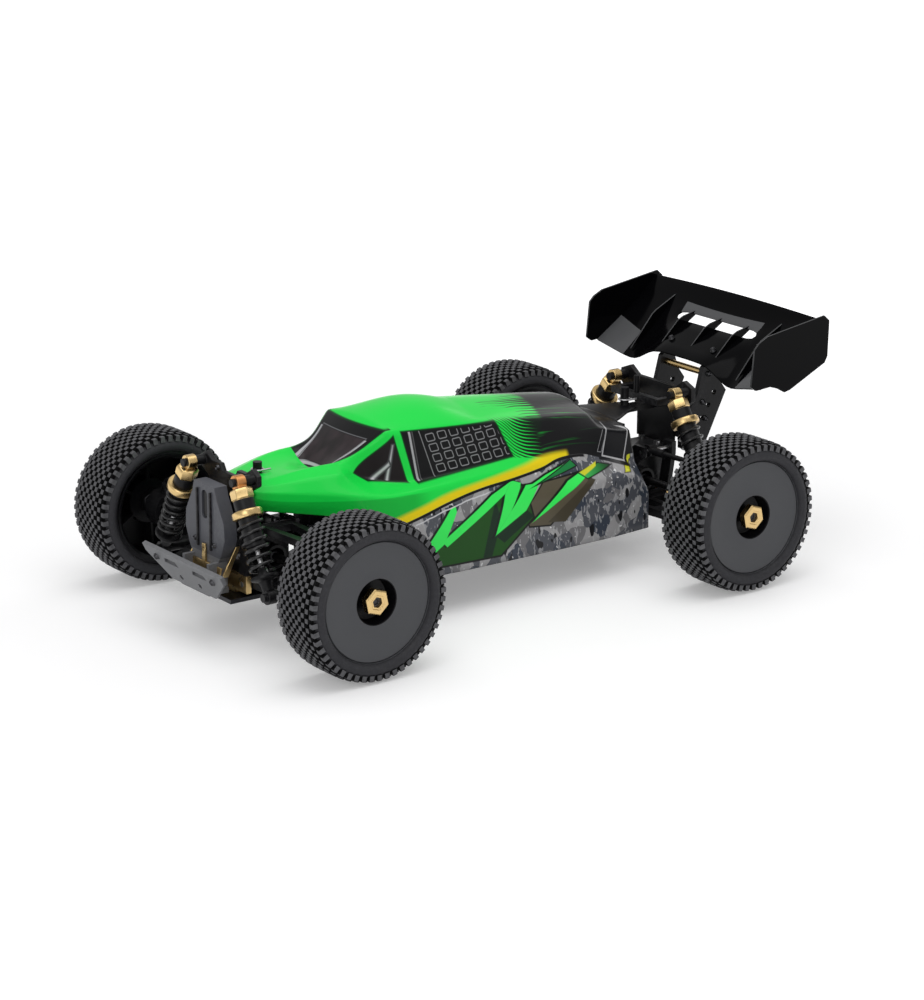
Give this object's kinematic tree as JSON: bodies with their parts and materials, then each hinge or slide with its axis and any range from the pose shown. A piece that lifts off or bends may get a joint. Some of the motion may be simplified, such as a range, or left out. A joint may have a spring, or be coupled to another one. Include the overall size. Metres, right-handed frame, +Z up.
{
  "type": "radio-controlled off-road model buggy",
  "caption": "Four-wheel-drive off-road model buggy with sprung arms, steering front wheels, painted shell, rear wing, motor, battery and a centre differential.",
  "frame": {"origin": "on the ground, at the middle of the overall length and width", "axes": "+X the car's left side, -Y the front of the car, +Z up"},
  "size_m": [0.309, 0.502, 0.1775],
  "materials": {
    "body_paint": "clear moulded shell painted bright green with yellow, black and grey patterns, glossy",
    "wing_plastic": "glossy black moulded plastic",
    "black_plastic": "satin black glass-filled nylon",
    "grey_plastic": "satin dark grey nylon",
    "chassis_metal": "dark grey anodised aluminium plate",
    "gold_metal": "gold anodised aluminium, satin",
    "steel": "machined steel",
    "spring_steel": "black powder-coated spring wire",
    "motor_metal": "black anodised motor can",
    "battery_case": "dark hard plastic case",
    "tyre_rubber": "black rubber tyre with small square pins, on a dark grey nylon rim"
  },
  "bodies": {
    "chassis": {"chassis_plate": "chassis_metal", "chassis_braces": "black_plastic", "front_bumper": "grey_plastic", "front_gearbox": "black_plastic", "rear_gearbox": "black_plastic", "front_shock_tower": "grey_plastic", "rear_shock_tower": "black_plastic", "hinge_holders": "gold_metal", "body_shell": "body_paint", "rear_wing": "wing_plastic", "wing_mount": "black_plastic", "motor": "motor_metal", "steering_servo": "black_plastic", "battery_pack": "battery_case", "electronics": "black_plastic", "fasteners": "steel"},
    "centre_diff": {"centre_diff": "steel"},
    "motor_pinion": {"motor_pinion": "steel"},
    "servo_saver": {"servo_saver": "black_plastic"},
    "drag_link": {"drag_link": "steel"},
    "lower_arm_front_left": {"lower_arm_front_left": "black_plastic"},
    "upper_arm_front_left": {"upper_arm_front_left": "black_plastic"},
    "tie_rod_left": {"tie_rod_left": "black_plastic"},
    "driveshaft_front_left": {"driveshaft_front_left": "steel"},
    "shock_body_front_left": {"shock_body_front_left": "gold_metal"},
    "shock_shaft_front_left": {"shock_shaft_front_left": "steel", "spring_front_left": "spring_steel"},
    "caster_block_left": {"caster_block_left": "black_plastic"},
    "knuckle_left": {"knuckle_left": "black_plastic"},
    "wheel_front_left": {"wheel_front_left": "tyre_rubber", "axle_front_left": "gold_metal"},
    "lower_arm_rear_left": {"lower_arm_rear_left": "black_plastic"},
    "upper_link_rear_left": {"upper_link_rear_left": "grey_plastic"},
    "driveshaft_rear_left": {"driveshaft_rear_left": "steel"},
    "shock_body_rear_left": {"shock_body_rear_left": "gold_metal"},
    "shock_shaft_rear_left": {"shock_shaft_rear_left": "steel", "spring_rear_left": "spring_steel"},
    "hub_carrier_left": {"hub_carrier_left": "black_plastic"},
    "wheel_rear_left": {"wheel_rear_left": "tyre_rubber", "axle_rear_left": "gold_metal"},
    "lower_arm_front_right": {"lower_arm_front_right": "black_plastic"},
    "upper_arm_front_right": {"upper_arm_front_right": "black_plastic"},
    "tie_rod_right": {"tie_rod_right": "black_plastic"},
    "driveshaft_front_right": {"driveshaft_front_right": "steel"},
    "shock_body_front_right": {"shock_body_front_right": "gold_metal"},
    "shock_shaft_front_right": {"shock_shaft_front_right": "steel", "spring_front_right": "spring_steel"},
    "caster_block_right": {"caster_block_right": "black_plastic"},
    "knuckle_right": {"knuckle_right": "black_plastic"},
    "wheel_front_right": {"wheel_front_right": "tyre_rubber", "axle_front_right": "gold_metal"},
    "lower_arm_rear_right": {"lower_arm_rear_right": "black_plastic"},
    "upper_link_rear_right": {"upper_link_rear_right": "grey_plastic"},
    "driveshaft_rear_right": {"driveshaft_rear_right": "steel"},
    "shock_body_rear_right": {"shock_body_rear_right": "gold_metal"},
    "shock_shaft_rear_right": {"shock_shaft_rear_right": "steel", "spring_rear_right": "spring_steel"},
    "hub_carrier_right": {"hub_carrier_right": "black_plastic"},
    "wheel_rear_right": {"wheel_rear_right": "tyre_rubber", "axle_rear_right": "gold_metal"}
  },
  "joints": [
    {"name": "centre_diff_spin", "type": "hinge", "parent": "chassis", "child": "centre_diff", "pos_m": [0, 0, 0.0555], "axis": [0, 1, 0], "continuous": true},
    {"name": "motor_pinion_spin", "type": "hinge", "parent": "chassis", "child": "motor_pinion", "pos_m": [-0.0261, 0, 0.0555], "axis": [0, 1, 0], "continuous": true},
    {"name": "servo_saver_turn", "type": "hinge", "parent": "chassis", "child": "servo_saver", "pos_m": [-0.024, -0.127, 0.07], "axis": [0, 0, 1], "range_deg": [-23, 23]},
    {"name": "drag_link_slide", "type": "slide", "parent": "chassis", "child": "drag_link", "axis": [1, 0, 0], "range_m": [-0.0105, 0.0105]},
    {"name": "suspension_front_left", "type": "hinge", "parent": "chassis", "child": "lower_arm_front_left", "pos_m": [0.024, -0.193, 0.039], "axis": [0, -1, 0], "range_deg": [-12, 18], "stiffness_Nm_per_rad": 11, "springref_deg": -4.93},
    {"name": "upper_arm_front_left_pivot", "type": "hinge", "parent": "chassis", "child": "upper_arm_front_left", "pos_m": [0.03, -0.193, 0.077], "axis": [0, -1, 0], "range_deg": [-14.5, 21]},
    {"name": "tie_rod_left_swing", "type": "hinge", "parent": "drag_link", "child": "tie_rod_left", "pos_m": [0.031, -0.165, 0.07], "axis": [0, -1, 0], "range_deg": [-12, 18]},
    {"name": "driveshaft_front_left_swing", "type": "hinge", "parent": "chassis", "child": "driveshaft_front_left", "pos_m": [0.026, -0.193, 0.0555], "axis": [0, -1, 0], "range_deg": [-12, 17]},
    {"name": "shock_body_front_left_pivot", "type": "hinge", "parent": "chassis", "child": "shock_body_front_left", "pos_m": [0.031, -0.223, 0.114], "axis": [0, -1, 0], "range_deg": [-5, 7]},
    {"name": "shock_shaft_front_left_stroke", "type": "slide", "parent": "shock_body_front_left", "child": "shock_shaft_front_left", "axis": [-0.4621, 0, 0.8868], "range_m": [-0.0125, 0.018], "deforming": ["spring_front_left"]},
    {"name": "caster_block_left_pivot", "type": "hinge", "parent": "lower_arm_front_left", "child": "caster_block_left", "pos_m": [0.096, -0.193, 0.04], "axis": [0, -1, 0], "range_deg": [-19, 13]},
    {"name": "steering", "type": "hinge", "parent": "caster_block_left", "child": "knuckle_left", "pos_m": [0.108, -0.193, 0.0555], "axis": [0, 0, 1], "range_deg": [-22, 22]},
    {"name": "wheel_front_left_spin", "type": "hinge", "parent": "knuckle_left", "child": "wheel_front_left", "pos_m": [0.1325, -0.193, 0.0555], "axis": [1, 0, 0], "continuous": true},
    {"name": "suspension_rear_left", "type": "hinge", "parent": "chassis", "child": "lower_arm_rear_left", "pos_m": [0.024, 0.133, 0.039], "axis": [0, -1, 0], "range_deg": [-12, 18], "stiffness_Nm_per_rad": 11, "springref_deg": -4.93},
    {"name": "upper_link_rear_left_pivot", "type": "hinge", "parent": "chassis", "child": "upper_link_rear_left", "pos_m": [0.03, 0.137, 0.077], "axis": [0, -1, 0], "range_deg": [-14.5, 21]},
    {"name": "driveshaft_rear_left_swing", "type": "hinge", "parent": "chassis", "child": "driveshaft_rear_left", "pos_m": [0.026, 0.133, 0.0555], "axis": [0, -1, 0], "range_deg": [-12, 17]},
    {"name": "shock_body_rear_left_pivot", "type": "hinge", "parent": "chassis", "child": "shock_body_rear_left", "pos_m": [0.035, 0.155, 0.118], "axis": [0, -1, 0], "range_deg": [-5, 7]},
    {"name": "shock_shaft_rear_left_stroke", "type": "slide", "parent": "shock_body_rear_left", "child": "shock_shaft_rear_left", "axis": [-0.5494, 0, 0.8356], "range_m": [-0.0125, 0.018], "deforming": ["spring_rear_left"]},
    {"name": "hub_carrier_left_pivot", "type": "hinge", "parent": "lower_arm_rear_left", "child": "hub_carrier_left", "pos_m": [0.096, 0.133, 0.04], "axis": [0, -1, 0], "range_deg": [-19, 13]},
    {"name": "wheel_rear_left_spin", "type": "hinge", "parent": "hub_carrier_left", "child": "wheel_rear_left", "pos_m": [0.1325, 0.133, 0.0555], "axis": [1, 0, 0], "continuous": true},
    {"name": "suspension_front_right", "type": "hinge", "parent": "chassis", "child": "lower_arm_front_right", "pos_m": [-0.024, -0.193, 0.039], "axis": [0, 1, 0], "range_deg": [-12, 18], "stiffness_Nm_per_rad": 11, "springref_deg": -4.93},
    {"name": "upper_arm_front_right_pivot", "type": "hinge", "parent": "chassis", "child": "upper_arm_front_right", "pos_m": [-0.03, -0.193, 0.077], "axis": [0, 1, 0], "range_deg": [-14.5, 21]},
    {"name": "tie_rod_right_swing", "type": "hinge", "parent": "drag_link", "child": "tie_rod_right", "pos_m": [-0.031, -0.165, 0.07], "axis": [0, 1, 0], "range_deg": [-12, 18]},
    {"name": "driveshaft_front_right_swing", "type": "hinge", "parent": "chassis", "child": "driveshaft_front_right", "pos_m": [-0.026, -0.193, 0.0555], "axis": [0, 1, 0], "range_deg": [-12, 17]},
    {"name": "shock_body_front_right_pivot", "type": "hinge", "parent": "chassis", "child": "shock_body_front_right", "pos_m": [-0.031, -0.223, 0.114], "axis": [0, 1, 0], "range_deg": [-5, 7]},
    {"name": "shock_shaft_front_right_stroke", "type": "slide", "parent": "shock_body_front_right", "child": "shock_shaft_front_right", "axis": [0.4621, 0, 0.8868], "range_m": [-0.0125, 0.018], "deforming": ["spring_front_right"]},
    {"name": "caster_block_right_pivot", "type": "hinge", "parent": "lower_arm_front_right", "child": "caster_block_right", "pos_m": [-0.096, -0.193, 0.04], "axis": [0, 1, 0], "range_deg": [-19, 13]},
    {"name": "knuckle_right_steer", "type": "hinge", "parent": "caster_block_right", "child": "knuckle_right", "pos_m": [-0.108, -0.193, 0.0555], "axis": [0, 0, 1], "range_deg": [-23, 23]},
    {"name": "wheel_front_right_spin", "type": "hinge", "parent": "knuckle_right", "child": "wheel_front_right", "pos_m": [-0.1325, -0.193, 0.0555], "axis": [1, 0, 0], "continuous": true},
    {"name": "suspension_rear_right", "type": "hinge", "parent": "chassis", "child": "lower_arm_rear_right", "pos_m": [-0.024, 0.133, 0.039], "axis": [0, 1, 0], "range_deg": [-12, 18], "stiffness_Nm_per_rad": 11, "springref_deg": -4.93},
    {"name": "upper_link_rear_right_pivot", "type": "hinge", "parent": "chassis", "child": "upper_link_rear_right", "pos_m": [-0.03, 0.137, 0.077], "axis": [0, 1, 0], "range_deg": [-14.5, 21]},
    {"name": "driveshaft_rear_right_swing", "type": "hinge", "parent": "chassis", "child": "driveshaft_rear_right", "pos_m": [-0.026, 0.133, 0.0555], "axis": [0, 1, 0], "range_deg": [-12, 17]},
    {"name": "shock_body_rear_right_pivot", "type": "hinge", "parent": "chassis", "child": "shock_body_rear_right", "pos_m": [-0.035, 0.155, 0.118], "axis": [0, 1, 0], "range_deg": [-5, 7]},
    {"name": "shock_shaft_rear_right_stroke", "type": "slide", "parent": "shock_body_rear_right", "child": "shock_shaft_rear_right", "axis": [0.5494, 0, 0.8356], "range_m": [-0.0125, 0.018], "deforming": ["spring_rear_right"]},
    {"name": "hub_carrier_right_pivot", "type": "hinge", "parent": "lower_arm_rear_right", "child": "hub_carrier_right", "pos_m": [-0.096, 0.133, 0.04], "axis": [0, 1, 0], "range_deg": [-19, 13]},
    {"name": "wheel_rear_right_spin", "type": "hinge", "parent": "hub_carrier_right", "child": "wheel_rear_right", "pos_m": [-0.1325, 0.133, 0.0555], "axis": [1, 0, 0], "continuous": true}
  ],
  "couplings": [
    {"joint": "motor_pinion_spin", "follows": "centre_diff_spin", "ratio": -3.3333},
    {"joint": "servo_saver_turn", "follows": "steering", "ratio": -1},
    {"joint": "drag_link_slide", "follows": "steering", "m_per_rad": -0.025366},
    {"joint": "upper_arm_front_left_pivot", "follows": "suspension_front_left", "ratio": 1.085},
    {"joint": "tie_rod_left_swing", "follows": "suspension_front_left", "ratio": 0.949},
    {"joint": "driveshaft_front_left_swing", "follows": "suspension_front_left", "ratio": 0.875},
    {"joint": "shock_body_front_left_pivot", "follows": "suspension_front_left", "ratio": 0.1916},
    {"joint": "shock_shaft_front_left_stroke", "follows": "suspension_front_left", "m_per_rad": 0.04122},
    {"joint": "caster_block_left_pivot", "follows": "suspension_front_left", "ratio": -1},
    {"joint": "upper_link_rear_left_pivot", "follows": "suspension_rear_left", "ratio": 1.085},
    {"joint": "driveshaft_rear_left_swing", "follows": "suspension_rear_left", "ratio": 0.875},
    {"joint": "shock_body_rear_left_pivot", "follows": "suspension_rear_left", "ratio": 0.3009},
    {"joint": "shock_shaft_rear_left_stroke", "follows": "suspension_rear_left", "m_per_rad": 0.05339},
    {"joint": "hub_carrier_left_pivot", "follows": "suspension_rear_left", "ratio": -1},
    {"joint": "upper_arm_front_right_pivot", "follows": "suspension_front_right", "ratio": 1.085},
    {"joint": "tie_rod_right_swing", "follows": "suspension_front_right", "ratio": 0.949},
    {"joint": "driveshaft_front_right_swing", "follows": "suspension_front_right", "ratio": 0.875},
    {"joint": "shock_body_front_right_pivot", "follows": "suspension_front_right", "ratio": 0.1916},
    {"joint": "shock_shaft_front_right_stroke", "follows": "suspension_front_right", "m_per_rad": 0.04122},
    {"joint": "caster_block_right_pivot", "follows": "suspension_front_right", "ratio": -1},
    {"joint": "knuckle_right_steer", "follows": "steering", "ratio": 1},
    {"joint": "upper_link_rear_right_pivot", "follows": "suspension_rear_right", "ratio": 1.085},
    {"joint": "driveshaft_rear_right_swing", "follows": "suspension_rear_right", "ratio": 0.875},
    {"joint": "shock_body_rear_right_pivot", "follows": "suspension_rear_right", "ratio": 0.3009},
    {"joint": "shock_shaft_rear_right_stroke", "follows": "suspension_rear_right", "m_per_rad": 0.05339},
    {"joint": "hub_carrier_right_pivot", "follows": "suspension_rear_right", "ratio": -1}
  ]
}
